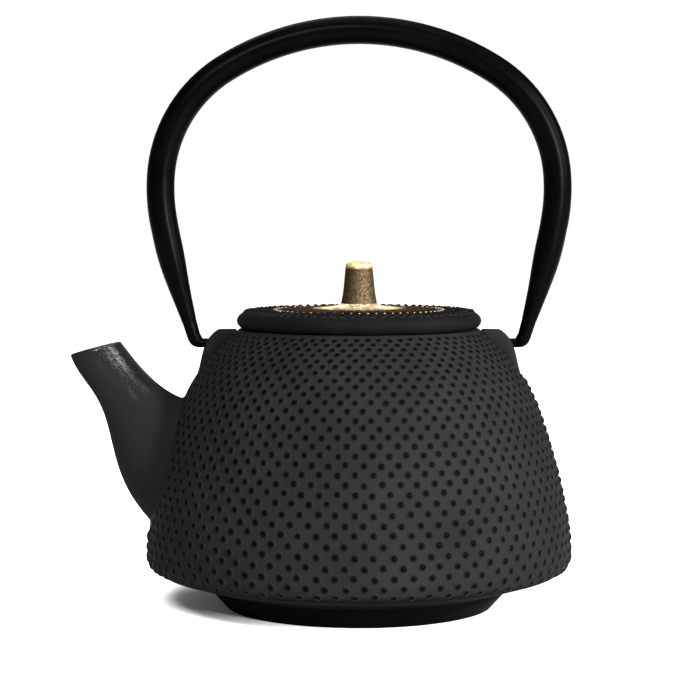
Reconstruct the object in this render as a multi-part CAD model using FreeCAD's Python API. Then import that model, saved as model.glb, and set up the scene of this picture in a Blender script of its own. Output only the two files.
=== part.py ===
import FreeCAD, Part
import math
import os

# Cast-iron teapot with a hobnailed bell body, a lift-off lid with a brass knob,
# a swinging tubular bow handle and a steel tea infuser.
# Frame: millimetres, +Z up, origin on the pot's axis at the underside of its foot ring.
# The spout points to -X and the handle swings about an axis parallel to X.

# --- pot body -------------------------------------------------------------------
BODY_RADIUS = 79.7          # widest radius, just above the base
BODY_WIDEST_Z = 20.0        # height where the side is upright
BASE_CORNER_R = 7.0         # rounding between side and underside
UNDERSIDE_SLOPE = 17.0      # degrees, underside above the foot
FOOT_RADIUS = 50.3          # outer radius of the foot ring on the ground
FOOT_SLOPE = 48.0           # degrees, flare of the foot
FOOT_GROOVE = ((38.0, 0.0), (39.2, 1.2), (41.4, 1.2), (42.6, 0.0))   # shallow ring groove in the underside
SIDE_ARCS = ((73.3, 9.8), (242.0, 20.0), (64.5, 90.0))   # radius and end angle of each side arc
SHOULDER_Z = 104.0          # level seat that carries the lid
WALL = 3.6                  # casting thickness
FLOOR_Z = 5.4               # inside floor
NECK_UNDER_Z = 98.6         # underside of the mouth ring
MOUTH_R = 36.0              # bore of the mouth
RECESS_R = 39.2             # recess that takes the infuser's flange
RECESS_Z = 102.2
ENAMEL = 0.4                # thickness of the enamel lining

# --- spout ----------------------------------------------------------------------
# Each station is (lower x, lower z, upper x, upper z, half width), from lip to root.
SPOUT_STATIONS = (
    (-108.7, 94.4, -89.9, 99.3, 8.9),
    (-104.3, 86.0, -85.2, 93.2, 9.4),
    (-98.6, 77.4, -78.9, 86.1, 10.1),
    (-94.5, 66.2, -70.6, 79.7, 12.4),
    (-91.5, 54.0, -62.0, 75.8, 16.4),
    (-87.1, 43.0, -54.0, 71.2, 20.2),
    (-78.0, 30.6, -47.0, 62.0, 21.4),
)
SPOUT_WALL_LIP = 2.0
SPOUT_WALL_ROOT = 3.6
SPOUT_ROOT_FILLET = 1.5
SPOUT_LIP_FILLET = 0.8
SPOUT_JOINT = (-85.0, 42.0, -74.5, 82.4)    # lower x, z and upper x, z of the plane between bell and spout

# --- ears and hinge -------------------------------------------------------------
HINGE_Z = 98.7
EAR_WIDTH = 9.0
PIN_R = 1.75
PIN_BORE_R = 1.83
PIN_BORE_END = 50.0         # blind end of the bore, from the pot's axis
PIN_END = 50.6

# --- handle ---------------------------------------------------------------------
HANDLE_TOP_Z = 215.6        # centreline of the crown
HANDLE_ARCS = ((95.0, 32.0), (51.1, 86.1), (69.2, 100.5), (280.0, 106.5))
TUBE_R = 5.25
TUBE_BORE_R = 4.05
# Taper of each leg: height of the station, outer radius, bore radius.
LEG_TAPER = ((137.0, 5.2, 4.0), (128.0, 4.85, 3.6), (119.0, 3.95, 2.6), (112.0, 3.25, 1.6), (106.5, 2.7, 1.6))
TANG_R = 1.6
TANG_TOP_Z = 111.0
END_BEND_R = 3.9            # bend between the leg and the pin
END_BEND_RADII = (2.55, 2.6, 2.6, 2.35, 1.95, 1.75)    # thickness round the bend, down to the pin

# --- lid ------------------------------------------------------------------------
LID_RADIUS = 46.0
LID_TOP_Z = 110.8
LID_WIDEST_Z = 107.2
LID_GROOVE_R = 42.0         # fine groove between the nailed top and the smooth rim
LID_SEAT_Z = 104.3
LID_UNDER_Z = 107.0
SKIRT_R = 33.0
SKIRT_INNER_R = 30.8
SKIRT_BOTTOM_Z = 97.5
SHANK_R = 2.5
LID_HOLE_R = 2.7
ROSETTE_R = 33.0
ROSETTE_BEADS = 64
ROSETTE_PETALS = 24
COLLAR_TOP_Z = 113.6
KNOB_TOP_Z = 129.4

# --- infuser --------------------------------------------------------------------
FLANGE_R = 38.7
FLANGE_Z = 102.5
FLANGE_T = 0.8
BASKET_R = 34.0             # outside of the mesh
MESH_T = 0.5
BASKET_BOTTOM_Z = 44.0
COLLAR_DEPTH = 7.0
HOOP_HEIGHT = 5.0
BAND_T = 0.7


def rz(radius, height):
    return FreeCAD.Vector(radius, 0, height)


def polar(centre, radius, degrees):
    """Point on a circle in the XZ plane, the angle measured up from +X."""
    turn = math.radians(degrees)
    return centre + FreeCAD.Vector(radius * math.cos(turn), 0, radius * math.sin(turn))


def arc(centre, radius, start, end):
    """Arc edge in the XZ plane."""
    middle = polar(centre, radius, (start + end) / 2)
    return Part.Arc(polar(centre, radius, start), middle, polar(centre, radius, end)).toShape()


def lines(points):
    """Straight edges through the points."""
    return [Part.makeLine(a, b) for a, b in zip(points[:-1], points[1:])]


def turned(edges):
    """Solid of revolution about Z from a closed set of edges in the XZ plane."""
    face = Part.Face(Part.Wire(edges))
    return face.revolve(FreeCAD.Vector(0, 0, 0), FreeCAD.Vector(0, 0, 1), 360)


def ring(inner, outer, bottom, top):
    tube = Part.makeCylinder(outer, top - bottom, rz(0, bottom))
    return tube.cut(Part.makeCylinder(inner, top - bottom, rz(0, bottom)))


def meet(p, p_angle, q, q_angle):
    """Crossing of two lines in the XZ plane, each a point and a direction in degrees."""
    px = math.cos(math.radians(p_angle))
    pz = math.sin(math.radians(p_angle))
    qx = math.cos(math.radians(q_angle))
    qz = math.sin(math.radians(q_angle))
    t = ((q.x - p.x) * qz - (q.z - p.z) * qx) / (px * qz - pz * qx)
    return rz(p.x + t * px, p.z + t * pz)


def side_profile(inset, bottom_z, top_z):
    """Edges of the bell from the foot up to top_z, moved inwards by inset.

    Every arc keeps its centre when it is moved, so the wall has one thickness.
    """
    corner = rz(BODY_RADIUS - BASE_CORNER_R, BODY_WIDEST_Z)
    under = polar(corner, BASE_CORNER_R - inset, UNDERSIDE_SLOPE - 90)
    foot = rz(FOOT_RADIUS - inset * math.sin(math.radians(FOOT_SLOPE)), inset * math.cos(math.radians(FOOT_SLOPE)))
    knee = meet(under, UNDERSIDE_SLOPE, foot, FOOT_SLOPE)
    start = meet(foot, FOOT_SLOPE, rz(0, bottom_z), 0)
    edges = lines([start, knee, under])
    edges.append(arc(corner, BASE_CORNER_R - inset, UNDERSIDE_SLOPE - 90, 0))
    radius = SIDE_ARCS[0][0]
    centre = rz(BODY_RADIUS - radius, BODY_WIDEST_Z)
    angle = 0.0
    for radius, end in SIDE_ARCS:
        if angle > 0:
            centre = polar(joint, -radius, angle)
        joint = polar(centre, radius, end)
        if end == SIDE_ARCS[-1][1]:
            end = math.degrees(math.asin((top_z - centre.z) / (radius - inset)))
        edges.append(arc(centre, radius - inset, angle, end))
        angle = end
    return start, edges, polar(centre, radius - inset, angle)


def body_blank():
    """Outside of the bell with its foot ring, still solid."""
    start, side, shoulder = side_profile(0, 0, SHOULDER_Z)
    base = lines([rz(0, 0)] + [rz(*point) for point in FOOT_GROOVE] + [start])
    top = lines([shoulder, rz(0, SHOULDER_Z), rz(0, 0)])
    return turned(base + side + top)


def cavity(inset):
    """Space inside the pot below the mouth ring."""
    start, side, top = side_profile(inset, FLOOR_Z + inset - WALL, NECK_UNDER_Z)
    return turned(lines([rz(0, start.z), start]) + side + lines([top, rz(0, top.z), rz(0, start.z)]))


def mouth_bore():
    """Bore of the mouth with the recess for the infuser's flange."""
    bore = Part.makeCylinder(MOUTH_R, 12, rz(0, NECK_UNDER_Z - 2))
    recess = Part.makeCylinder(RECESS_R, 6, rz(0, RECESS_Z))
    return bore.fuse(recess)


def ellipse_at(low, high, half_width):
    """Elliptical section of the spout, its long axis from the low to the high point."""
    centre = (low + high) * 0.5
    curve = Part.Ellipse(high, centre + FreeCAD.Vector(0, half_width, 0), centre)
    return Part.Wire(curve.toShape())


def spout_body(hollow):
    """Outside of the spout, or its channel when hollow is true."""
    sections = []
    last = len(SPOUT_STATIONS) - 1
    for i, (x0, z0, x1, z1, half_width) in enumerate(SPOUT_STATIONS):
        low = rz(x0, z0)
        high = rz(x1, z1)
        if hollow:
            wall = SPOUT_WALL_LIP + (SPOUT_WALL_ROOT - SPOUT_WALL_LIP) * i / last
            step = (high - low).normalize() * wall
            low = low + step
            high = high - step
            half_width = half_width - wall
        sections.append(ellipse_at(low, high, half_width))
    if hollow:
        # The channel runs on a little past the lip so that the mouth is cut clean open.
        lip_low = rz(*SPOUT_STATIONS[0][:2])
        lip_high = rz(*SPOUT_STATIONS[0][2:4])
        out = (lip_high - lip_low).normalize().cross(FreeCAD.Vector(0, 1, 0)) * 2.0
        beyond = sections[0].copy()
        beyond.translate(out)
        sections.insert(0, beyond)
    return Part.makeLoft(sections, True, False)


def ear(side):
    """Lug on the shoulder that carries one handle pin."""
    crest = Part.BSplineCurve()
    crest.interpolate([rz(53.0, 103.8), rz(55.7, 101.6), rz(58.0, 97.7), rz(59.3, 93.0), rz(61.4, 86.0)])
    end = crest.EndPoint
    inner = lines([end, rz(54.0, 86.0), rz(45.6, 100.0), rz(46.4, 103.8), crest.StartPoint])
    face = Part.Face(Part.Wire([crest.toShape()] + inner))
    face.translate(FreeCAD.Vector(0, -EAR_WIDTH / 2, 0))
    lug = face.extrude(FreeCAD.Vector(0, EAR_WIDTH, 0))
    flanks = [e for e in lug.Edges if isinstance(e.Curve, Part.BSplineCurve)]
    lug = lug.makeFillet(2.2, flanks)
    if side < 0:
        lug.rotate(FreeCAD.Vector(0, 0, 0), FreeCAD.Vector(0, 0, 1), 180)
    return lug


def pin_bore(side):
    start = FreeCAD.Vector(side * PIN_BORE_END, 0, HINGE_Z)
    return Part.makeCylinder(PIN_BORE_R, 15, start, FreeCAD.Vector(side, 0, 0))


def seam(whole, one, other):
    """Edges of whole where the surfaces of one and other meet."""
    found = []
    for edge in whole.Edges:
        middle = Part.Vertex(edge.valueAt((edge.FirstParameter + edge.LastParameter) / 2))
        if all(piece.Shells[0].distToShape(middle)[0] < 0.001 for piece in (one, other)):
            found.append(edge)
    return found


def pot_casting():
    """The whole casting: bell, foot, spout and ears."""
    body = body_blank()
    spout = spout_body(False)
    pot = body.fuse([spout, ear(1), ear(-1)])
    pot = pot.makeFillet(SPOUT_ROOT_FILLET, seam(pot, body, spout))
    pot = pot.cut([cavity(WALL), mouth_bore(), spout_body(True), pin_bore(1), pin_bore(-1)])
    lip = [e for e in pot.Edges if e.BoundBox.ZMin > 93 and e.BoundBox.XMax < -85]
    return pot.makeFillet(SPOUT_LIP_FILLET, lip)


def below_floor():
    """Space under the inside floor, which the foot fills."""
    return Part.makeCylinder(BODY_RADIUS + 5, FLOOR_Z + 5, rz(0, -5))


def beyond_joint():
    """Space on the spout's side of the plane between bell and spout."""
    low = rz(*SPOUT_JOINT[:2])
    high = rz(*SPOUT_JOINT[2:])
    along = (high - low).normalize()
    low = low - along * 25
    high = high + along * 25
    far = FreeCAD.Vector(-60, 0, 0)
    face = Part.Face(Part.Wire(lines([low, high, high + far, low + far, low])))
    face.translate(FreeCAD.Vector(0, -40, 0))
    return face.extrude(FreeCAD.Vector(0, 80, 0))


def pot_foot():
    return body_blank().common(below_floor())


def enamel_lining():
    """Enamel on the inside, open at the neck and where the spout's channel comes in."""
    shell = cavity(WALL).cut(cavity(WALL + ENAMEL))
    return shell.cut([mouth_bore(), spout_body(True)])


def handle_path():
    """Arc segments of the handle's right half: centre, radius and angles, then the leg's end point."""
    segments = []
    start = 0.0
    joint = rz(0, HANDLE_TOP_Z)
    for radius, end in HANDLE_ARCS:
        centre = polar(joint, -radius, 90 - start)
        segments.append((centre, radius, start, end))
        joint = polar(centre, radius, 90 - end)
        start = end
    return segments, joint


def leg_station(height):
    """Centre and downward direction of the right leg at a height below the side arc."""
    segments, joint = handle_path()
    centre, radius, start, end = segments[-1]
    down = -end
    point = meet(joint, down, rz(0, height), 0)
    if height > joint.z:
        rise = math.degrees(math.asin((height - centre.z) / radius))
        point = polar(centre, radius, rise)
        down = rise - 90
    return point, polar(rz(0, 0), 1, down)


def disc_wire(centre, direction, radius):
    return Part.Wire(Part.makeCircle(radius, centre, direction))


def mirrored(shape):
    return shape.mirror(FreeCAD.Vector(0, 0, 0), FreeCAD.Vector(1, 0, 0))


def bow_solid(tube_r, leg_column):
    """Bow of one outer or bore radius; leg_column picks that radius in LEG_TAPER."""
    segments, joint = handle_path()
    right = [arc(c, r, 90 - a, 90 - b) for c, r, a, b in segments[:-1]]
    left = [mirrored(edge) for edge in right]
    spine = Part.Wire(Part.__sortEdges__(left + right))
    centre, radius, start, end = segments[-1]
    leg_top = polar(centre, radius, 90 - start)
    leg_down = polar(rz(0, 0), 1, -start)
    first = FreeCAD.Vector(-leg_top.x, 0, leg_top.z)
    section = disc_wire(first, FreeCAD.Vector(-leg_down.x, 0, leg_down.z), tube_r)
    crown = spine.makePipeShell([section], True, True)
    sections = [disc_wire(leg_top, leg_down, tube_r)]
    for station in LEG_TAPER:
        point, down = leg_station(station[0])
        sections.append(disc_wire(point, down, station[leg_column]))
    leg = Part.makeLoft(sections, True, False)
    return crown.fuse([leg, mirrored(leg)])


def tang():
    """Straight tang inside the foot of the right leg."""
    tip, down = leg_station(LEG_TAPER[-1][0])
    top, _ = leg_station(TANG_TOP_Z)
    return Part.makeCylinder(TANG_R, (tip - top).Length, top, down)


def handle_bow():
    """Hollow bow of the handle, tapering to a small bore at each leg."""
    bow = bow_solid(TUBE_R, 1).cut(bow_solid(TUBE_BORE_R, 2))
    return bow.cut([tang(), mirrored(tang())])


def handle_end(side):
    """Solid end of the handle: a tang in the leg, a tapering bend and the hinge pin."""
    tip, down = leg_station(LEG_TAPER[-1][0])
    down_angle = -HANDLE_ARCS[-1][1]
    corner = meet(tip, down_angle, rz(0, HINGE_Z), 0)
    turn = 180 + down_angle
    run = END_BEND_R * math.tan(math.radians(turn / 2))
    bend_start = corner - down * run
    bend_centre = polar(bend_start, END_BEND_R, down_angle - 90)
    neck = Part.makeLoft([disc_wire(tip, down, LEG_TAPER[-1][1]),
                          disc_wire(bend_start, down, END_BEND_RADII[0])], True, True)
    sections = []
    for i, radius in enumerate(END_BEND_RADII):
        heading = down_angle - turn * i / (len(END_BEND_RADII) - 1)
        centre = polar(bend_centre, END_BEND_R, heading + 90)
        sections.append(disc_wire(centre, polar(rz(0, 0), 1, heading), radius))
    bend = Part.makeLoft(sections, True, False)
    pin_start = corner - FreeCAD.Vector(run, 0, 0)
    pin = Part.makeCylinder(PIN_R, pin_start.x - PIN_END, pin_start, FreeCAD.Vector(-1, 0, 0))
    end = tang().fuse([neck, bend, pin])
    if side < 0:
        end = mirrored(end)
    return end


def lid_plate():
    """Lid casting with a rounded rim, a fine groove inside the rim, a flat seat and a locating skirt."""
    rim_top = Part.Arc(rz(42.3, LID_TOP_Z - 0.3), rz(45.0, LID_TOP_Z - 1.5), rz(LID_RADIUS, LID_WIDEST_Z)).toShape()
    rim_low = Part.Arc(rz(LID_RADIUS, LID_WIDEST_Z), rz(45.5, 105.8), rz(43.6, LID_SEAT_Z)).toShape()
    under = lines([
        rz(43.6, LID_SEAT_Z), rz(SKIRT_R, LID_SEAT_Z), rz(SKIRT_R, SKIRT_BOTTOM_Z + 0.8),
        rz(SKIRT_R - 0.8, SKIRT_BOTTOM_Z), rz(SKIRT_INNER_R, SKIRT_BOTTOM_Z),
        rz(SKIRT_INNER_R - 0.4, LID_UNDER_Z), rz(LID_HOLE_R, LID_UNDER_Z),
        rz(LID_HOLE_R, LID_TOP_Z), rz(LID_GROOVE_R - 0.3, LID_TOP_Z), rz(LID_GROOVE_R, LID_TOP_Z - 0.5),
        rz(42.3, LID_TOP_Z - 0.3),
    ])
    return turned([rim_top, rim_low] + under)


def lid_rosette():
    """Brass rosette: a thin disc with radial petals, a beaded rim and a flared collar."""
    flare = Part.BSplineCurve()
    flare.interpolate([rz(7.0, COLLAR_TOP_Z), rz(9.0, 112.5), rz(14.0, 111.9), rz(30.0, 111.4)])
    outline = lines([rz(30.0, 111.4), rz(ROSETTE_R, 111.4), rz(ROSETTE_R, LID_TOP_Z), rz(LID_HOLE_R, LID_TOP_Z)])
    outline += lines([rz(LID_HOLE_R, LID_TOP_Z), rz(LID_HOLE_R, COLLAR_TOP_Z), rz(7.0, COLLAR_TOP_Z)])
    disc = turned([flare.toShape()] + outline)
    relief = []
    for i in range(ROSETTE_BEADS):
        turn = 2 * math.pi * i / ROSETTE_BEADS
        spot = FreeCAD.Vector(31.7 * math.cos(turn), 31.7 * math.sin(turn), 111.2)
        relief.append(Part.makeSphere(1.15, spot, FreeCAD.Vector(0, 0, 1), 0, 90, 360))
    for i in range(ROSETTE_PETALS):
        turn = 2 * math.pi * i / ROSETTE_PETALS
        outward = FreeCAD.Vector(math.cos(turn), math.sin(turn), 0)
        relief.append(Part.makeCone(0.5, 1.6, 18.0, outward * 11.5 + rz(0, 111.0), outward))
    disc = disc.fuse(relief)
    below = Part.makeBox(80, 80, 10, FreeCAD.Vector(-40, -40, LID_TOP_Z - 10))
    return disc.cut(below)


def lid_knob():
    """Tapered brass knob with a rounded cap and a shank that goes down through the lid."""
    taper = Part.BSplineCurve()
    taper.interpolate([rz(6.8, COLLAR_TOP_Z), rz(6.4, 115.2), rz(5.8, 121.5), rz(5.1, 127.2)])
    cap = Part.Arc(rz(5.1, 127.2), rz(4.2, 128.8), rz(2.0, KNOB_TOP_Z)).toShape()
    shank = lines([
        rz(2.0, KNOB_TOP_Z), rz(0, KNOB_TOP_Z), rz(0, 101.6), rz(SHANK_R - 0.5, 101.6),
        rz(SHANK_R, 102.1), rz(SHANK_R, COLLAR_TOP_Z), rz(6.8, COLLAR_TOP_Z),
    ])
    return turned([taper.toShape(), cap] + shank)


def knob_washer():
    return ring(LID_HOLE_R, 7.0, LID_UNDER_Z - 1.0, LID_UNDER_Z)


def knob_nut():
    """Hexagon nut on the shank, 8 mm across flats."""
    corners = []
    for i in range(7):
        turn = math.radians(60 * i)
        corners.append(FreeCAD.Vector(4.62 * math.cos(turn), 4.62 * math.sin(turn), 0))
    face = Part.Face(Part.makePolygon(corners))
    nut = face.extrude(FreeCAD.Vector(0, 0, 3.2))
    nut.translate(rz(0, LID_UNDER_Z - 4.2))
    return nut.cut(Part.makeCylinder(SHANK_R, 10, rz(0, LID_UNDER_Z - 8)))


def infuser_rim():
    """Pressed steel rim: a flat flange that hangs in the mouth and a short collar."""
    flange = ring(BASKET_R, FLANGE_R, FLANGE_Z, FLANGE_Z + FLANGE_T)
    collar = ring(BASKET_R, BASKET_R + BAND_T, FLANGE_Z - COLLAR_DEPTH, FLANGE_Z)
    return flange.fuse(collar).removeSplitter()


def infuser_wall():
    return ring(BASKET_R - MESH_T, BASKET_R, BASKET_BOTTOM_Z + MESH_T, FLANGE_Z + FLANGE_T)


def infuser_base():
    return Part.makeCylinder(BASKET_R, MESH_T, rz(0, BASKET_BOTTOM_Z))


def infuser_hoop():
    """Band round the foot of the basket."""
    return ring(BASKET_R, BASKET_R + BAND_T, BASKET_BOTTOM_Z, BASKET_BOTTOM_Z + HOOP_HEIGHT)


casting = pot_casting()

NODES = {
    "pot_bell": lambda: casting.cut([below_floor(), beyond_joint()]),
    "pot_foot": pot_foot,
    "pot_spout": lambda: casting.common(beyond_joint()),
    "enamel_lining": enamel_lining,
    "handle_bow": handle_bow,
    "handle_end_left": lambda: handle_end(-1),
    "handle_end_right": lambda: handle_end(1),
    "lid_plate": lid_plate,
    "lid_rosette": lid_rosette,
    "lid_knob": lid_knob,
    "knob_washer": knob_washer,
    "knob_nut": knob_nut,
    "infuser_rim": infuser_rim,
    "infuser_wall": infuser_wall,
    "infuser_base": infuser_base,
    "infuser_hoop": infuser_hoop,
}

os.makedirs("parts", exist_ok=True)
for name, make in NODES.items():
    shape = make()
    shape.exportStep("parts/" + name + ".step")
    box = shape.BoundBox
    print(name, shape.ShapeType, "solids", len(shape.Solids), "valid", shape.isValid(),
          "volume", round(shape.Volume, 1),
          "x", round(box.XMin, 2), round(box.XMax, 2), "y", round(box.YMin, 2), round(box.YMax, 2),
          "z", round(box.ZMin, 2), round(box.ZMax, 2))
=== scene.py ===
import math
import random

import bpy
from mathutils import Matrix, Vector
from mathutils.bvhtree import BVHTree


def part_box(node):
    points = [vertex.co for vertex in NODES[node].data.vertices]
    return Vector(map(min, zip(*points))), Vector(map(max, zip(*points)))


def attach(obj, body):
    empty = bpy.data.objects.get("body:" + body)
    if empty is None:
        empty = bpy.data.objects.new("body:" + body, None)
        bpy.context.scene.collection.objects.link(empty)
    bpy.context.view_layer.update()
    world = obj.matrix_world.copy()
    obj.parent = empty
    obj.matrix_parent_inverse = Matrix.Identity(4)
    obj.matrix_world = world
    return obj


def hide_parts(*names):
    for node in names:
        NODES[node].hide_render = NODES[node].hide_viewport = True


# Cast-iron teapot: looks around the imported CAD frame. Lengths here are in metres;
# MM turns millimetres into metres. The spout points to -X and the camera looks along +Y.

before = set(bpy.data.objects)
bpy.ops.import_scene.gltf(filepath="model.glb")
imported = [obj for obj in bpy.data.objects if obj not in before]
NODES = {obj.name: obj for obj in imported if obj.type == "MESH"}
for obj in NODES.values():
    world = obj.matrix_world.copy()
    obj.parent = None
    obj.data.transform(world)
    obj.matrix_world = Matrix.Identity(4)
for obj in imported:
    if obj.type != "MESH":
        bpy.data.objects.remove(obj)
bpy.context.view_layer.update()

MM = 0.001
random.seed(7)

SCENE = bpy.context.scene


# --------------------------------------------------------------------------------
# Mesh helpers
# --------------------------------------------------------------------------------

def new_piece(name, verts, faces, body):
    """Mesh object from plain lists, riding on a body."""
    mesh = bpy.data.meshes.new(name)
    mesh.from_pydata(verts, [], faces)
    mesh.validate()
    mesh.update()
    mesh.polygons.foreach_set("use_smooth", [True] * len(mesh.polygons))
    piece = bpy.data.objects.new(name, mesh)
    SCENE.collection.objects.link(piece)
    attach(piece, body)
    return piece


def point_values(piece, name, values):
    """Float attribute on the points, read by a material."""
    layer = piece.data.attributes.new(name, "FLOAT", "POINT")
    layer.data.foreach_set("value", values)


def surface_tree(*nodes):
    """Search tree over the faces of one or more CAD nodes."""
    verts, faces = [], []
    for node in nodes:
        mesh = NODES[node].data
        start = len(verts)
        verts += [v.co.copy() for v in mesh.vertices]
        faces += [tuple(start + n for n in p.vertices) for p in mesh.polygons]
    return BVHTree.FromPolygons(verts, faces)


def grid_faces(rows, columns):
    """Quads of a rows x columns grid of points, closed round its columns."""
    faces = []
    for i in range(rows - 1):
        for j in range(columns):
            k = (j + 1) % columns
            faces.append((i * columns + j, i * columns + k, (i + 1) * columns + k, (i + 1) * columns + j))
    return faces


# --------------------------------------------------------------------------------
# Hobnails
# --------------------------------------------------------------------------------

NAIL_RINGS = ((0.0, 1.0), (0.28, 0.9), (0.52, 0.62), (0.76, 0.27), (1.0, -0.08))
NAIL_SIDES = 10


def add_nail(verts, faces, tips, spot, normal, radius, height):
    """Rounded nail with a flared skirt whose edge sinks just under the surface."""
    side = normal.cross(Vector((0, 0, 1)))
    if side.length < 0.2:
        side = normal.cross(Vector((1, 0, 0)))
    side.normalize()
    other = normal.cross(side)
    start = len(verts)
    verts.append(spot + normal * height)
    tips.append(1.0)
    twist = random.uniform(0, math.tau)
    for reach, rise in NAIL_RINGS[1:]:
        for k in range(NAIL_SIDES):
            turn = twist + math.tau * k / NAIL_SIDES
            out = side * math.cos(turn) + other * math.sin(turn)
            verts.append(spot + out * (radius * reach) + normal * (height * rise))
            tips.append(max(0.0, rise))
    for k in range(NAIL_SIDES):
        j = (k + 1) % NAIL_SIDES
        faces.append((start, start + 1 + k, start + 1 + j))
    for ring in range(len(NAIL_RINGS) - 2):
        low = start + 1 + ring * NAIL_SIDES
        for k in range(NAIL_SIDES):
            j = (k + 1) % NAIL_SIDES
            faces.append((low + k, low + NAIL_SIDES + k, low + NAIL_SIDES + j, low + j))


def wall_hit(tree, angle, height):
    """Where a level ray from outside meets the pot: point, normal and distance from the axis."""
    inward = Vector((-math.cos(angle), -math.sin(angle), 0))
    origin = inward * -0.3 + Vector((0, 0, height))
    point, normal, _, _ = tree.ray_cast(origin, inward)
    if point is None:
        return None, None, 0.0
    if normal.dot(inward) > 0:
        normal = -normal
    return point, normal, math.hypot(point.x, point.y)


BODY_NAILS = 75
ROW_STEP = 0.55             # row pitch over nail pitch
LOWEST_ROW = 16.1 * MM
HIGHEST_ROW = 102.6 * MM
PLAIN_ANGLE = -math.pi / 2  # direction where the wall carries neither spout nor ear
SHOULDER_TOP = 103.5 * MM   # level rays stay under the shoulder's top face
BULGE = 0.25 * MM           # a wall further out than this beside a nail is spout or ear


def body_hobnails():
    tree = surface_tree("pot_bell", "pot_spout")
    verts, faces, tips = [], [], []
    height = LOWEST_ROW
    row = 0
    while height < HIGHEST_ROW:
        _, slope, radius = wall_hit(tree, PLAIN_ANGLE, height)
        pitch = math.tau * radius / BODY_NAILS
        size = 0.5 + 0.5 * (radius - 45 * MM) / (35 * MM)
        margin = 0.7 * pitch / radius
        for k in range(BODY_NAILS):
            angle = math.tau * (k + 0.5 * (row % 2)) / BODY_NAILS
            angle += random.uniform(-0.05, 0.05) * pitch / radius
            level = height + random.uniform(-0.05, 0.05) * pitch
            near = 0.0
            for turn in (-margin, 0.0, margin):
                for shift in (-0.4 * pitch, 0.4 * pitch):
                    reach = wall_hit(tree, angle + turn, min(level + shift, SHOULDER_TOP))[2]
                    plain = wall_hit(tree, PLAIN_ANGLE, min(level + shift, SHOULDER_TOP))[2]
                    near = max(near, reach - plain)
            if near > BULGE:
                continue
            spot, normal, _ = wall_hit(tree, angle, level)
            wide = (1.0 + 0.82 * size) * MM * random.uniform(0.92, 1.06)
            tall = (0.42 + 0.36 * size) * MM * random.uniform(0.85, 1.1)
            add_nail(verts, faces, tips, spot, normal, wide, tall)
        rise = math.sqrt(max(0.05, 1 - slope.z ** 2))
        height += ROW_STEP * pitch * rise
        row += 1
    piece = new_piece("body_hobnails", verts, faces, "pot")
    point_values(piece, "tip", tips)
    return piece


LID_NAIL_ROWS = (34.6, 37.3, 39.9, 42.6)
LID_NAILS = 75
LID_NAIL_RADIUS = 1.22 * MM
LID_NAIL_HEIGHT = 0.9 * MM


def lid_hobnails():
    tree = surface_tree("lid_plate")
    verts, faces, tips = [], [], []
    for row, reach in enumerate(LID_NAIL_ROWS):
        for k in range(LID_NAILS):
            angle = math.tau * (k + 0.5 * (row % 2) + random.uniform(-0.06, 0.06)) / LID_NAILS
            out = reach + random.uniform(-0.12, 0.12)
            origin = Vector((out * MM * math.cos(angle), out * MM * math.sin(angle), 0.2))
            spot, normal, _, _ = tree.ray_cast(origin, Vector((0, 0, -1)))
            wide = LID_NAIL_RADIUS * random.uniform(0.93, 1.07)
            tall = LID_NAIL_HEIGHT * random.uniform(0.88, 1.1)
            add_nail(verts, faces, tips, spot, normal, wide, tall)
    piece = new_piece("lid_hobnails", verts, faces, "lid")
    point_values(piece, "tip", tips)
    return piece


# --------------------------------------------------------------------------------
# Lid furniture
# --------------------------------------------------------------------------------

PETALS = 32
PETAL_START = 7.0 * MM      # radii between which the petals lie
PETAL_END = 30.2 * MM
BEADS = 64
BEAD_RADIUS = 0.8 * MM


def rosette():
    """Chrysanthemum rosette: radial petals rising to the knob, with a beaded rim."""
    low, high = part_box("lid_rosette")
    rim = high.x
    base = low.z
    columns = PETALS * 14
    hole = 2.7 * MM
    stations = [hole, 5.6 * MM, 6.9 * MM, 7.3 * MM]
    stations += [7.3 * MM + (PETAL_END - 7.3 * MM) * (i / 34) ** 1.15 for i in range(1, 35)]
    stations += [30.5 * MM, 30.9 * MM, rim - 0.3 * MM, rim]
    verts = []
    for r in stations:
        for j in range(columns):
            turn = math.tau * j / columns
            x = (r - PETAL_START) / (PETAL_END - PETAL_START)
            if x <= 0.0:
                z = high.z - 0.02 * MM
            elif x >= 1.0:
                z = base + (0.45 * MM if r < rim - 0.1 * MM else 0.2 * MM)
            else:
                flare = 2.1 * MM * math.exp(-x * 7.0)
                lobe = abs(math.cos(PETALS * turn / 2)) ** 0.55
                second = abs(math.sin(PETALS * turn / 2)) ** 0.7
                reach = 0.97 - 0.10 * (1 - lobe)
                grow = min(1.0, x * 5.0)
                drop = max(0.0, (x - reach + 0.06) / 0.06)
                height = 0.62 * lobe + 0.22 * second * max(0.0, 1 - x * 1.6)
                crown = 1.0 - 0.25 * x
                z = base + 0.45 * MM + flare + grow * height * crown * 0.95 * MM * max(0.0, 1 - drop ** 2)
            verts.append((r * math.cos(turn), r * math.sin(turn), z))
    faces = grid_faces(len(stations), columns)
    start = len(verts)
    for r in (hole, rim):
        for j in range(columns):
            turn = math.tau * j / columns
            verts.append((r * math.cos(turn), r * math.sin(turn), base + 0.02 * MM))
    top_rim = (len(stations) - 1) * columns
    for j in range(columns):
        k = (j + 1) % columns
        faces.append((start + j, start + k, k, j))
        faces.append((top_rim + j, top_rim + k, start + columns + k, start + columns + j))
        faces.append((start + columns + j, start + columns + k, start + k, start + j))
    return new_piece("rosette_petals", verts, faces, "lid")


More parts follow.
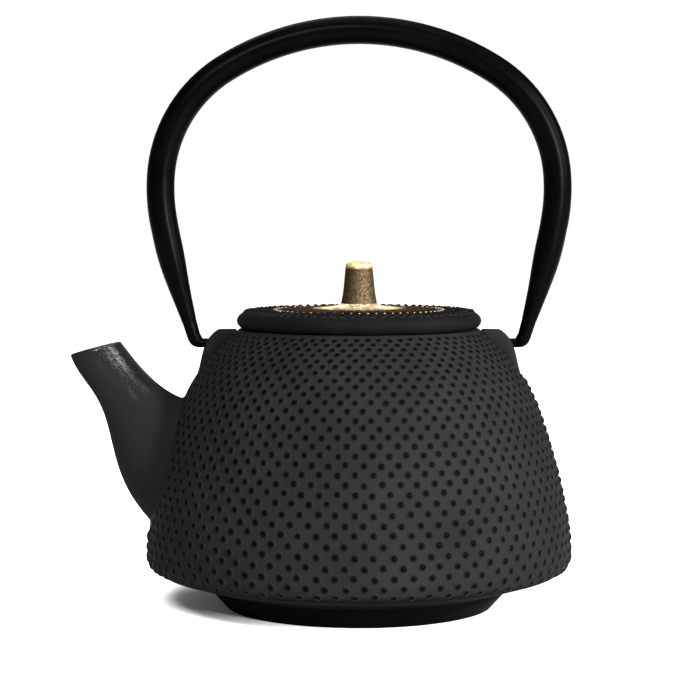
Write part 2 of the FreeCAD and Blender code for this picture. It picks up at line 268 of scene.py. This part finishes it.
def beads():
    """Ring of small domed beads just inside the rosette's rim."""
    low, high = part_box("lid_rosette")
    ring = high.x - 1.3 * MM
    verts, faces = [], []
    rows, sides = 6, 12
    for i in range(BEADS):
        turn = math.tau * i / BEADS
        centre = Vector((ring * math.cos(turn), ring * math.sin(turn), low.z))
        start = len(verts)
        for a in range(rows):
            lift = math.radians(-20 + 100 * a / (rows - 1))
            for b in range(sides):
                spin = math.tau * b / sides
                flat = BEAD_RADIUS * math.cos(lift)
                out = Vector((flat * math.cos(spin), flat * math.sin(spin), BEAD_RADIUS * math.sin(lift)))
                verts.append(centre + out)
        faces += [tuple(start + n for n in quad) for quad in grid_faces(rows, sides)]
        top = start + (rows - 1) * sides
        faces.append(tuple(top + b for b in range(sides)))
    return new_piece("rosette_beads", verts, faces, "lid")


KNOB_FOOT_Z = 113.6 * MM
KNOB_SHOULDER_Z = 127.2 * MM    # where the tooled side meets the smooth cap
TOOLING_TURNS = 26
TOOLING_PITCH = 0.2 * MM


def knob():
    """Tapered knob with a fine crossed tooling on its side and a smooth rounded cap."""
    low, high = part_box("lid_knob")
    foot_r = high.x
    top_z = high.z
    columns = 288
    profile = []
    side_rows = 110
    for i in range(side_rows + 1):
        t = i / side_rows
        z = KNOB_FOOT_Z + (KNOB_SHOULDER_Z - KNOB_FOOT_Z) * t
        r = foot_r - 1.05 * MM * (1 - math.exp(-3.0 * t)) - 0.72 * MM * t ** 1.6
        profile.append((r, z, 1.0))
    side_r = profile[-1][0]
    for i in range(1, 13):
        a = math.radians(90 * i / 12)
        profile.append((side_r - (side_r - 0.02 * MM) * (1 - math.cos(a)) ** 1.25,
                        KNOB_SHOULDER_Z + (top_z - KNOB_SHOULDER_Z) * math.sin(a) ** 0.8, 0.25))
    verts, cuts = [], []
    for r, z, tooled in profile:
        for j in range(columns):
            turn = math.tau * j / columns
            climb = z / TOOLING_PITCH
            wave = math.sin(TOOLING_TURNS * turn + climb) * math.sin(TOOLING_TURNS * turn - climb)
            flow = math.sin(5 * turn + z / (2.3 * MM)) * 0.25
            cut = tooled * (0.02 * wave + 0.06 * flow) * MM
            verts.append(((r + cut) * math.cos(turn), (r + cut) * math.sin(turn), z))
            cuts.append(0.5 + 0.5 * wave * tooled)
    faces = grid_faces(len(profile), columns)
    top = (len(profile) - 1) * columns
    faces.append(tuple(top + j for j in range(columns)))
    shank = ((low.z, 2.0 * MM), (low.z + 0.5 * MM, 2.5 * MM), (KNOB_FOOT_Z, 2.5 * MM))
    start = len(verts)
    for z, r in shank:
        for j in range(columns):
            turn = math.tau * j / columns
            verts.append((r * math.cos(turn), r * math.sin(turn), z))
            cuts.append(0.5)
    faces += [tuple(start + n for n in quad) for quad in grid_faces(len(shank), columns)]
    joint = start + (len(shank) - 1) * columns
    for j in range(columns):
        k = (j + 1) % columns
        faces.append((joint + j, joint + k, k, j))
    faces.append(tuple(start + j for j in reversed(range(columns))))
    piece = new_piece("knob_tooled", verts, faces, "lid")
    point_values(piece, "tooling", cuts)
    return piece


# --------------------------------------------------------------------------------
# Infuser
# --------------------------------------------------------------------------------

HOLE = 0.3                  # hole radius, in cells


def perforated(place, columns, rows, thickness_dir):
    """Closed perforated band: place(u, v, inner) gives a point for u, v in cells."""
    verts, faces = [], []
    index = {}

    def vertex(u, v, inner):
        key = (round(u % columns, 4), round(v, 4), inner)
        if key not in index:
            index[key] = len(verts)
            verts.append(place(key[0], v, inner))
        return index[key]

    square = ((0.5, -0.5), (0.5, 0.0), (0.5, 0.5), (0.0, 0.5),
              (-0.5, 0.5), (-0.5, 0.0), (-0.5, -0.5), (0.0, -0.5))
    for i in range(rows):
        for j in range(columns):
            u0, v0 = j + 0.5, i + 0.5
            for s in range(8):
                a, b = square[s], square[(s + 1) % 8]
                ha = (HOLE * math.cos(math.pi * (s - 1) / 4), HOLE * math.sin(math.pi * (s - 1) / 4))
                hb = (HOLE * math.cos(math.pi * s / 4), HOLE * math.sin(math.pi * s / 4))
                outer = [vertex(u0 + q[0], v0 + q[1], False) for q in (a, b, hb, ha)]
                inner = [vertex(u0 + q[0], v0 + q[1], True) for q in (a, b, hb, ha)]
                faces.append(tuple(outer) if thickness_dir else tuple(outer[::-1]))
                faces.append(tuple(inner[::-1]) if thickness_dir else tuple(inner))
                wall = (outer[3], outer[2], inner[2], inner[3])
                faces.append(wall if thickness_dir else wall[::-1])
    for i, v in ((0, 0.0), (1, float(rows))):
        for j in range(columns * 2):
            quad = (vertex(j / 2, v, False), vertex((j + 1) / 2, v, False),
                    vertex((j + 1) / 2, v, True), vertex(j / 2, v, True))
            faces.append(quad if i == (1 if thickness_dir else 0) else quad[::-1])
    return verts, faces


SHEET = 0.45 * MM           # depth of the infuser wall's inner face below its radius


def infuser_mesh():
    """Perforated wall and base of the infuser."""
    low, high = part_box("infuser_wall")
    radius = high.x
    bottom = low.z
    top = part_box("infuser_rim")[0].z + 0.6 * MM
    columns = 96
    rows = 23
    pitch = (top - bottom) / rows

    def place(u, v, inner):
        turn = math.tau * u / columns
        r = radius - (SHEET if inner else 0.02 * MM)
        return (r * math.cos(turn), r * math.sin(turn), bottom + v * pitch)

    verts, faces = perforated(place, columns, rows, True)
    # plain band behind the rim's collar, up to the flange
    start = len(verts)
    sides = 96
    outside, inside = radius - 0.02 * MM, radius - SHEET
    for r, z in ((outside, top), (outside, high.z), (inside, high.z), (inside, top)):
        for j in range(sides):
            turn = math.tau * j / sides
            verts.append((r * math.cos(turn), r * math.sin(turn), z))
    band = grid_faces(4, sides)
    band += [(3 * sides + j, 3 * sides + (j + 1) % sides, (j + 1) % sides, j) for j in range(sides)]
    faces += [tuple(start + n for n in quad) for quad in band]
    wall = new_piece("infuser_mesh_wall", verts, faces, "infuser")

    low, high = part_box("infuser_base")
    verts, faces = [], []
    edge = high.x - 0.05 * MM
    bands = 11
    inner_r = 3.0 * MM
    width = (edge - inner_r) / bands
    for b in range(bands):
        r0 = inner_r + b * width
        count = max(8, round(math.tau * (r0 + width / 2) / (width * 0.95)))

        def place_base(u, v, inner, r0=r0, count=count):
            turn = math.tau * u / count
            r = r0 + v * width
            return (r * math.cos(turn), r * math.sin(turn), low.z if inner else high.z - 0.02 * MM)

        part_verts, part_faces = perforated(place_base, count, 1, False)
        start = len(verts)
        verts += part_verts
        faces += [tuple(start + n for n in quad) for quad in part_faces]
    start = len(verts)
    sides = 24
    for z in (low.z, high.z + 0.15 * MM):
        for j in range(sides):
            turn = math.tau * j / sides
            verts.append((1.03 * inner_r * math.cos(turn), 1.03 * inner_r * math.sin(turn), z))
    faces += [tuple(start + n for n in quad) for quad in grid_faces(2, sides)]
    faces.append(tuple(start + j for j in reversed(range(sides))))
    faces.append(tuple(start + sides + j for j in range(sides)))
    base = new_piece("infuser_mesh_base", verts, faces, "infuser")
    return wall, base


# --------------------------------------------------------------------------------
# Materials
# --------------------------------------------------------------------------------

def material(name):
    """New node material with its node tree and its shader."""
    mat = bpy.data.materials.new(name)
    mat.use_nodes = True
    tree = mat.node_tree
    shader = tree.nodes["Principled BSDF"]
    return mat, tree, shader


def add_node(tree, kind, **values):
    node = tree.nodes.new(kind)
    for key, value in values.items():
        if key in node.inputs:
            node.inputs[key].default_value = value
        else:
            setattr(node, key, value)
    return node


def object_noise(tree, scale, detail=4.0, roughness=0.55):
    place = add_node(tree, "ShaderNodeTexCoord")
    cloud = add_node(tree, "ShaderNodeTexNoise", Scale=scale, Detail=detail, Roughness=roughness)
    tree.links.new(place.outputs["Object"], cloud.inputs["Vector"])
    return cloud


def ramp(tree, source, stops):
    node = add_node(tree, "ShaderNodeValToRGB")
    while len(node.color_ramp.elements) < len(stops):
        node.color_ramp.elements.new(0.5)
    for element, (spot, colour) in zip(node.color_ramp.elements, stops):
        element.position = spot
        element.color = colour if len(colour) == 4 else (*colour, 1.0)
    tree.links.new(source, node.inputs["Fac"])
    return node


def grey(value):
    return (value, value, value)


def map_range(tree, source, low, high, start, end):
    node = add_node(tree, "ShaderNodeMapRange", interpolation_type="SMOOTHSTEP")
    node.inputs["From Min"].default_value = low
    node.inputs["From Max"].default_value = high
    node.inputs["To Min"].default_value = start
    node.inputs["To Max"].default_value = end
    tree.links.new(source, node.inputs["Value"])
    return node.outputs["Result"]


def coordinate(tree, axis):
    place = add_node(tree, "ShaderNodeTexCoord")
    split = add_node(tree, "ShaderNodeSeparateXYZ")
    tree.links.new(place.outputs["Object"], split.inputs["Vector"])
    return split.outputs[axis]


def multiply(tree, one, other):
    node = add_node(tree, "ShaderNodeMath", operation="MULTIPLY")
    tree.links.new(one, node.inputs[0])
    tree.links.new(other, node.inputs[1])
    return node.outputs["Value"]


def mix_value(tree, factor, one, other):
    """Blend of two numbers or sockets by a factor socket."""
    node = add_node(tree, "ShaderNodeMix", data_type="FLOAT")
    tree.links.new(factor, node.inputs["Factor"])
    for socket, value in (("A", one), ("B", other)):
        if isinstance(value, float):
            node.inputs[socket].default_value = value
        else:
            tree.links.new(value, node.inputs[socket])
    return node.outputs["Result"]


def mix_colour(tree, factor, one, other, blend="MIX"):
    node = add_node(tree, "ShaderNodeMix", data_type="RGBA", blend_type=blend)
    if isinstance(factor, float):
        node.inputs["Factor"].default_value = factor
    else:
        tree.links.new(factor, node.inputs["Factor"])
    for socket, value in ((6, one), (7, other)):
        if isinstance(value, tuple):
            node.inputs[socket].default_value = (*value, 1.0)
        else:
            tree.links.new(value, node.inputs[socket])
    return node.outputs[2]


def add_bump(tree, shader, height, strength, distance):
    lift = add_node(tree, "ShaderNodeBump", Strength=strength, Distance=distance)
    tree.links.new(height, lift.inputs["Height"])
    tree.links.new(lift.outputs["Normal"], shader.inputs["Normal"])


# Polished patch on the spout, in metres. Each pair fades the patch in from its first value to its second.
POLISH_ACROSS = (0.76, 0.0, 0.65)       # direction roughly square to the spout's upper run
POLISH_EDGE = (-0.0155, -0.0105)        # along POLISH_ACROSS
POLISH_Z = (0.077, 0.087)
POLISH_X = (-0.074, -0.080)
UNDERSIDE_SHADE_Z = (0.0166, 0.0138)               # heights where the painted shade on the underside fades in


def iron(name, dark, light, rough, gloss, bump, tipped=False, bell=False):
    """Matt black cast iron: sand-cast grain, soft colour variation, dark nail cores.

    bell adds the polished patch near the spout's lip and the painted shade on the underside.
    """
    mat, tree, shader = material(name)
    link = tree.links.new
    broad = object_noise(tree, 34.0, 5.0)
    top = ramp(tree, broad.outputs["Fac"], ((0.3, dark), (0.7, light))).outputs["Color"]
    grain = object_noise(tree, 1700.0, 3.0, 0.6)
    rough_out = map_range(tree, grain.outputs["Fac"], 0.3, 0.7, rough - 0.08, rough + 0.08)
    if tipped:
        tip = add_node(tree, "ShaderNodeAttribute", attribute_name="tip")
        core = map_range(tree, tip.outputs["Fac"], 0.16, 0.72, 0.0, 1.0)
        top = mix_colour(tree, core, top, grey(0.0004))
        rough_out = mix_value(tree, core, rough_out, 0.3)
    if bell:
        # a patch below the spout's lip is polished by hands and cloths
        place = add_node(tree, "ShaderNodeTexCoord")
        across = add_node(tree, "ShaderNodeVectorMath", operation="DOT_PRODUCT")
        link(place.outputs["Object"], across.inputs[0])
        across.inputs[1].default_value = POLISH_ACROSS
        polish = multiply(tree, map_range(tree, across.outputs["Value"], *POLISH_EDGE, 0.0, 1.0),
                          map_range(tree, coordinate(tree, "Z"), *POLISH_Z, 0.0, 1.0))
        polish = multiply(tree, polish, map_range(tree, coordinate(tree, "X"), *POLISH_X, 0.0, 1.0))
        speck = map_range(tree, grain.outputs["Fac"], 0.44, 0.58, 0.15, 1.0)
        link(multiply(tree, polish, speck), shader.inputs["Coat Weight"])
        shader.inputs["Coat Roughness"].default_value = 0.2
        crumbs = add_node(tree, "ShaderNodeBump", Strength=0.5, Distance=0.00005)
        link(grain.outputs["Fac"], crumbs.inputs["Height"])
        link(crumbs.outputs["Normal"], shader.inputs["Coat Normal"])
        top = mix_colour(tree, polish, top, grey(0.0016))
        shader.inputs["Coat IOR"].default_value = 1.34
        # painted shade: the underside, turned to the ground, is darkened below these heights to stand in
        # for its shadow
        under = map_range(tree, coordinate(tree, "Z"), *UNDERSIDE_SHADE_Z, 0.0, 1.0)
        top = mix_colour(tree, under, top, grey(0.0006))
    link(top, shader.inputs["Base Color"])
    link(rough_out, shader.inputs["Roughness"])
    shader.inputs["Specular IOR Level"].default_value = gloss
    pits = object_noise(tree, 640.0, 6.0, 0.65)
    add_bump(tree, shader, pits.outputs["Fac"], bump, 0.00022)
    return mat


def satin_black(name):
    """Black satin lacquer on the handle, a little uneven, with fine specks."""
    mat, tree, shader = material(name)
    link = tree.links.new
    broad = object_noise(tree, 60.0, 4.0)
    colour = ramp(tree, broad.outputs["Fac"], ((0.3, grey(0.0001)), (0.75, grey(0.0003))))
    link(colour.outputs["Color"], shader.inputs["Base Color"])
    fine = object_noise(tree, 900.0, 4.0)
    rough = ramp(tree, fine.outputs["Fac"], ((0.25, grey(0.26)), (0.8, grey(0.36))))
    link(rough.outputs["Color"], shader.inputs["Roughness"])
    shader.inputs["Specular IOR Level"].default_value = 0.006
    hills = object_noise(tree, 380.0, 4.0)
    add_bump(tree, shader, hills.outputs["Fac"], 0.3, 0.00014)
    return mat


def enamel(name):
    """Glossy black vitreous enamel with a soft orange peel."""
    mat, tree, shader = material(name)
    link = tree.links.new
    broad = object_noise(tree, 45.0, 3.0)
    colour = ramp(tree, broad.outputs["Fac"], ((0.3, grey(0.010)), (0.7, grey(0.018))))
    link(colour.outputs["Color"], shader.inputs["Base Color"])
    shader.inputs["Roughness"].default_value = 0.22
    peel = object_noise(tree, 160.0, 2.0)
    add_bump(tree, shader, peel.outputs["Fac"], 0.3, 0.0004)
    return mat


def axis_distance(tree):
    """Distance of a point from the pot's axis."""
    place = add_node(tree, "ShaderNodeTexCoord")
    flatten = add_node(tree, "ShaderNodeVectorMath", operation="MULTIPLY")
    flatten.inputs[1].default_value = (1, 1, 0)
    tree.links.new(place.outputs["Object"], flatten.inputs[0])
    length = add_node(tree, "ShaderNodeVectorMath", operation="LENGTH")
    tree.links.new(flatten.outputs["Vector"], length.inputs[0])
    return length.outputs["Value"]


def wandering(tree, source, scale, amount):
    """Source with a noise of the given reach added, so that a border isn't a clean circle."""
    cloud = object_noise(tree, scale, 5.0, 0.6)
    shift = add_node(tree, "ShaderNodeMath", operation="MULTIPLY_ADD")
    tree.links.new(cloud.outputs["Fac"], shift.inputs[0])
    shift.inputs[1].default_value = 2 * amount
    shift.inputs[2].default_value = -amount
    total = add_node(tree, "ShaderNodeMath", operation="ADD")
    tree.links.new(source, total.inputs[0])
    tree.links.new(shift.outputs["Value"], total.inputs[1])
    return total.outputs["Value"]


def brass(name, stops, source, low, high, wander, hollow_dark, rough_low, rough_high, relief=None,
          mottle_scale=520.0):
    """Antique brass whose tone follows a place along stops, with tarnish in the hollows."""
    mat, tree, shader = material(name)
    link = tree.links.new
    if source == "reach":
        along = axis_distance(tree)
    else:
        along = coordinate(tree, "Z")
    spread = add_node(tree, "ShaderNodeMapRange")
    spread.inputs["From Min"].default_value = low
    spread.inputs["From Max"].default_value = high
    link(wandering(tree, along, 300.0, wander), spread.inputs["Value"])
    tone = ramp(tree, spread.outputs["Result"], stops).outputs["Color"]
    geometry = add_node(tree, "ShaderNodeNewGeometry")
    hollow = ramp(tree, geometry.outputs["Pointiness"], ((0.45, grey(hollow_dark)), (0.53, grey(1.0))))
    tone = mix_colour(tree, 1.0, tone, hollow.outputs["Color"], "MULTIPLY")
    mottle = object_noise(tree, mottle_scale, 6.0, 0.7)
    patches = ramp(tree, mottle.outputs["Fac"], ((0.38, grey(0.3)), (0.64, grey(1.4))))
    tone = mix_colour(tree, 1.0, tone, patches.outputs["Color"], "MULTIPLY")
    if relief:
        cut = add_node(tree, "ShaderNodeAttribute", attribute_name=relief)
        scar = ramp(tree, cut.outputs["Fac"], ((0.2, grey(0.6)), (0.75, grey(1.0))))
        tone = mix_colour(tree, 1.0, tone, scar.outputs["Color"], "MULTIPLY")
    link(tone, shader.inputs["Base Color"])
    shader.inputs["Metallic"].default_value = 1.0
    shader.inputs["Specular Tint"].default_value = (0.5, 0.42, 0.3, 1.0)
    fine = object_noise(tree, 1100.0, 4.0)
    rough = map_range(tree, fine.outputs["Fac"], 0.25, 0.8, rough_low, rough_high)
    link(rough, shader.inputs["Roughness"])
    scratch = object_noise(tree, 700.0, 5.0, 0.65)
    add_bump(tree, shader, scratch.outputs["Fac"], 0.6, 0.00018)
    return mat


def steel(name, rough_low, rough_high, vertical):
    """Brushed stainless steel with fine lines round the ring or along the sheet."""
    mat, tree, shader = material(name)
    link = tree.links.new
    place = add_node(tree, "ShaderNodeTexCoord")
    stretch = add_node(tree, "ShaderNodeMapping")
    stretch.inputs["Scale"].default_value = (1, 1, 40) if vertical else (1, 1, 14)
    link(place.outputs["Object"], stretch.inputs["Vector"])
    lines = add_node(tree, "ShaderNodeTexNoise", Scale=300.0, Detail=3.0)
    link(stretch.outputs["Vector"], lines.inputs["Vector"])
    colour = ramp(tree, lines.outputs["Fac"], ((0.3, grey(0.2)), (0.7, grey(0.3))))
    link(colour.outputs["Color"], shader.inputs["Base Color"])
    shader.inputs["Metallic"].default_value = 1.0
    rough = ramp(tree, lines.outputs["Fac"], ((0.3, grey(rough_low)), (0.7, grey(rough_high))))
    link(rough.outputs["Color"], shader.inputs["Roughness"])
    lift = add_node(tree, "ShaderNodeBump", Strength=0.15, Distance=0.00005)
    link(lines.outputs["Fac"], lift.inputs["Height"])
    link(lift.outputs["Normal"], shader.inputs["Normal"])
    return mat


def wear(piece, mat):
    piece.data.materials.clear()
    piece.data.materials.append(mat)


# --------------------------------------------------------------------------------
# Assembly
# --------------------------------------------------------------------------------

body_iron = iron("body_iron", grey(0.0029), grey(0.0041), 0.7, 0.004, 0.45, bell=True)
# painted shade: the foot wears a darker copy of the body iron, standing in for the shadow under the pot
foot_iron_painted_shade = iron("foot_iron_painted_shade", grey(0.0005), grey(0.0009), 0.5, 0.002, 0.3)
nail_iron = iron("nail_iron", grey(0.0029), grey(0.0041), 0.7, 0.004, 0.25, tipped=True)
lid_iron = iron("lid_iron", grey(0.0011), grey(0.0019), 0.6, 0.004, 0.5)
black = satin_black("handle_black")
lining = enamel("black_enamel")
petal_brass = brass("petal_brass", ((0.0, (0.9, 0.76, 0.50)), (0.24, (0.74, 0.58, 0.34)),
                                    (0.46, (0.03, 0.022, 0.016)), (1.0, (0.008, 0.006, 0.0045))),
                    "reach", 0.007, 0.031, 0.004, 0.7, 0.4, 0.55)
bead_brass = brass("bead_brass", ((0.0, (0.30, 0.23, 0.16)), (1.0, (0.24, 0.19, 0.13))),
                   "reach", 0.030, 0.033, 0.002, 0.3, 0.24, 0.4)
knob_brass = brass("knob_brass", ((0.0, (0.052, 0.038, 0.021)), (0.82, (0.042, 0.03, 0.016)),
                                  (0.90, (0.48, 0.35, 0.17)), (1.0, (0.52, 0.39, 0.20))),
                   "height", 0.1136, 0.1294, 0.0006, 0.5, 0.56, 0.72, relief="tooling",
                   mottle_scale=1300.0)
band_steel = steel("band_steel", 0.22, 0.36, True)
mesh_steel = steel("mesh_steel", 0.28, 0.42, False)

for name in ("pot_bell", "pot_spout"):
    wear(NODES[name], body_iron)
wear(NODES["pot_foot"], foot_iron_painted_shade)
wear(NODES["enamel_lining"], lining)
wear(NODES["lid_plate"], lid_iron)
for name in ("handle_bow", "handle_end_left", "handle_end_right"):
    wear(NODES[name], black)
for name in ("knob_washer", "knob_nut", "infuser_rim", "infuser_hoop"):
    wear(NODES[name], band_steel)

wear(body_hobnails(), nail_iron)
wear(lid_hobnails(), nail_iron)
petals = rosette()
wear(petals, petal_brass)
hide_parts("lid_rosette")
wear(beads(), bead_brass)
post = knob()
wear(post, knob_brass)
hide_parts("lid_knob")
mesh_wall, mesh_base = infuser_mesh()
wear(mesh_wall, mesh_steel)
wear(mesh_base, mesh_steel)
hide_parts("infuser_wall")
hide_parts("infuser_base")


# --------------------------------------------------------------------------------
# Floor, light and camera
# --------------------------------------------------------------------------------

def floor():
    size = 6.0
    mesh = bpy.data.meshes.new("floor")
    corners = [(-size, -size, 0), (size, -size, 0), (size, size, 0), (-size, size, 0)]
    mesh.from_pydata(corners, [], [(0, 1, 2, 3)])
    plane = bpy.data.objects.new("floor", mesh)
    SCENE.collection.objects.link(plane)
    mat, _, shader = material("floor_paper")
    shader.inputs["Base Color"].default_value = (0.82, 0.82, 0.82, 1)
    shader.inputs["Roughness"].default_value = 0.8
    shader.inputs["Specular IOR Level"].default_value = 0.1
    mesh.materials.append(mat)


def area_light(name, spot, aim, size, power, shape_y=None):
    data = bpy.data.lights.new(name, "AREA")
    data.shape = "RECTANGLE"
    data.size = size
    data.size_y = shape_y or size
    data.energy = power
    light = bpy.data.objects.new(name, data)
    light.location = spot
    light.rotation_euler = (Vector(aim) - Vector(spot)).to_track_quat("-Z", "Y").to_euler()
    SCENE.collection.objects.link(light)


def studio_world():
    """Pale all round at eye level, softer overhead."""
    world = bpy.data.worlds.new("studio")
    SCENE.world = world
    world.use_nodes = True
    tree = world.node_tree
    place = add_node(tree, "ShaderNodeTexCoord")
    split = add_node(tree, "ShaderNodeSeparateXYZ")
    tree.links.new(place.outputs["Generated"], split.inputs["Vector"])
    shade = ramp(tree, split.outputs["Z"],
                 ((0.0, grey(1.0)), (0.17, grey(1.0)), (0.36, grey(0.33)), (1.0, grey(0.5))))
    tree.links.new(shade.outputs["Color"], tree.nodes["Background"].inputs["Color"])
    tree.nodes["Background"].inputs["Strength"].default_value = 1.02


floor()
studio_world()


def towards(azimuth, elevation, distance):
    """Place seen from the pot: azimuth to the right of the front, elevation above level, degrees."""
    a, e = math.radians(azimuth), math.radians(elevation)
    return (distance * math.sin(a) * math.cos(e), -distance * math.cos(a) * math.cos(e),
            0.09 + distance * math.sin(e))


centre = (0.0, 0.0, 0.09)
area_light("side_key", towards(68, 24, 1.2), centre, 0.7, 50.0)
area_light("streak", towards(37, 13, 1.4), (-0.09, 0, 0.08), 0.10, 105.0, 0.36)
area_light("crown_strip", towards(-14, 34, 1.2), (0, 0, 0.16), 0.5, 34.0, 0.14)
area_light("overhead", (0.0, -0.15, 1.1), centre, 0.5, 5.0)
area_light("back_fill", towards(195, 60, 1.5), centre, 0.9, 16.0)

daylight = bpy.data.lights.new("daylight", "SUN")
daylight.energy = 2.7
daylight.angle = math.radians(50)
sun = bpy.data.objects.new("daylight", daylight)
sun.rotation_euler = (math.radians(12), math.radians(14), 0)
SCENE.collection.objects.link(sun)

EYE = Vector((-3.4 * MM, -808 * MM, 151 * MM))
AIM = Vector((-3.4 * MM, 0, 96 * MM))
camera_data = bpy.data.cameras.new("camera")
camera_data.lens = 110.6
camera_data.sensor_width = 36.0
camera = bpy.data.objects.new("camera", camera_data)
camera.location = EYE
camera.rotation_euler = (AIM - EYE).to_track_quat("-Z", "Y").to_euler()
SCENE.collection.objects.link(camera)
SCENE.camera = camera

SCENE.view_settings.view_transform = "Standard"
